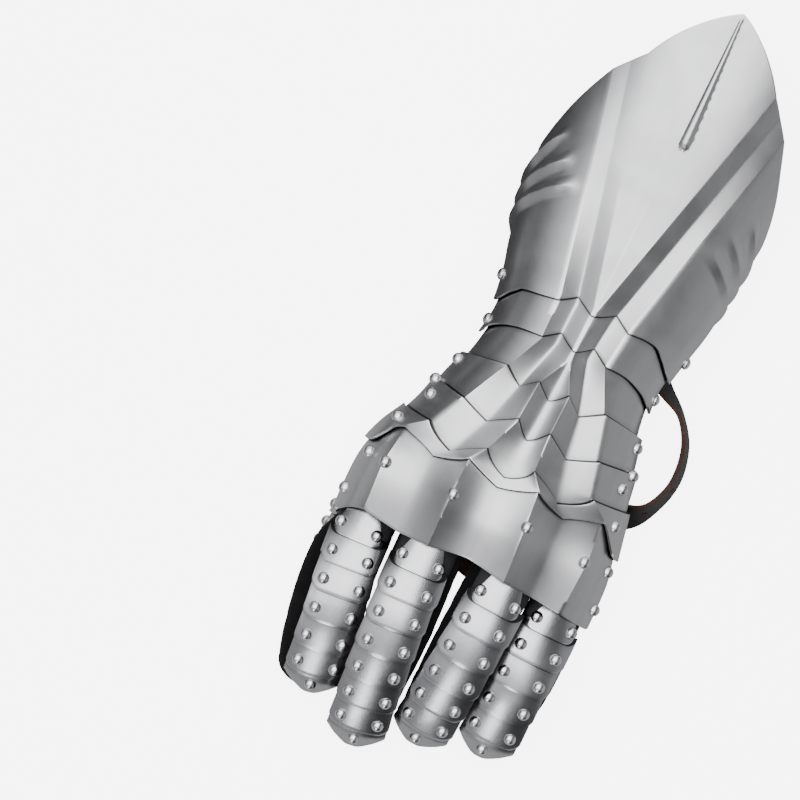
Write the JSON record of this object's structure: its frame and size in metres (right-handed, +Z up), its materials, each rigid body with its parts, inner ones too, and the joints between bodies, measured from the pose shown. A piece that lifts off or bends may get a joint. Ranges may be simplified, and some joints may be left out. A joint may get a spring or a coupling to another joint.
{
  "type": "armoured gauntlet",
  "caption": "Left plate gauntlet with a pointed fluted cuff, zigzag lames, riveted finger scales, a black suede glove and buckled leather straps.",
  "frame": {"origin": "middle of the footprint, at the height of the surface that the gauntlet lies on", "axes": "+Z up off the back of the hand, +Y from the wrist to the point of the cuff, -X on the thumb side"},
  "size_m": [0.15, 0.3968, 0.0922],
  "materials": {
    "steel_plate": "satin, bright on the rivets and the edges",
    "steel_scale": "satin",
    "black_suede": "matt suede",
    "dark_leather": "smooth dark grey",
    "cuff_strap_leather": "smooth dark grey with brown cut edges",
    "wrist_strap_leather": "smooth black outside and raw brown inside",
    "brown_leather": "raw brown",
    "nickel": "polished nickel"
  },
  "bodies": {
    "hand": {"knuckle_plate": "steel_plate", "hand_lame_1": "steel_plate", "hand_lame_2": "steel_plate", "hand_lame_3": "steel_plate", "hand_lame_4": "steel_plate", "index_scale_1": "steel_scale", "index_scale_2": "steel_scale", "index_scale_3": "steel_scale", "index_scale_4": "steel_scale", "index_scale_5": "steel_scale", "index_scale_6": "steel_scale", "index_scale_7": "steel_scale", "middle_scale_1": "steel_scale", "middle_scale_2": "steel_scale", "middle_scale_3": "steel_scale", "middle_scale_4": "steel_scale", "middle_scale_5": "steel_scale", "middle_scale_6": "steel_scale", "middle_scale_7": "steel_scale", "middle_scale_8": "steel_scale", "ring_scale_1": "steel_scale", "ring_scale_2": "steel_scale", "ring_scale_3": "steel_scale", "ring_scale_4": "steel_scale", "ring_scale_5": "steel_scale", "ring_scale_6": "steel_scale", "ring_scale_7": "steel_scale", "little_scale_1": "steel_scale", "little_scale_2": "steel_scale", "little_scale_3": "steel_scale", "little_scale_4": "steel_scale", "little_scale_5": "steel_scale", "little_scale_6": "steel_scale", "thumb_scale_1": "steel_scale", "thumb_scale_2": "steel_scale", "thumb_scale_3": "steel_scale", "thumb_scale_4": "steel_scale", "thumb_scale_5": "steel_scale", "thumb_base_plate": "steel_scale", "glove_hand": "black_suede", "glove_index": "black_suede", "glove_middle": "black_suede", "glove_ring": "black_suede", "glove_little": "black_suede", "glove_thumb": "black_suede", "index_strip": "dark_leather", "middle_strip": "dark_leather", "ring_strip": "dark_leather", "little_strip": "dark_leather", "thumb_strip": "dark_leather", "buckle_strap": "dark_leather", "palm_strap": "dark_leather", "wrist_strap": "wrist_strap_leather", "thumb_base_lining": "brown_leather", "buckle_frame": "nickel", "buckle_tongue": "nickel"},
    "wrist_lame": {"wrist_lame": "steel_plate"},
    "cuff": {"cuff_plate": "steel_plate", "cuff_strap": "cuff_strap_leather"}
  },
  "joints": [
    {"name": "lame_hinge", "type": "hinge", "parent": "hand", "child": "wrist_lame", "pos_m": [0, 0.01922, 0.037], "axis": [1, 0, 0], "range_deg": [-2, 3]},
    {"name": "cuff_hinge", "type": "hinge", "parent": "wrist_lame", "child": "cuff", "pos_m": [0, 0.04172, 0.037], "axis": [1, 0, 0], "range_deg": [-2, 3]}
  ]
}
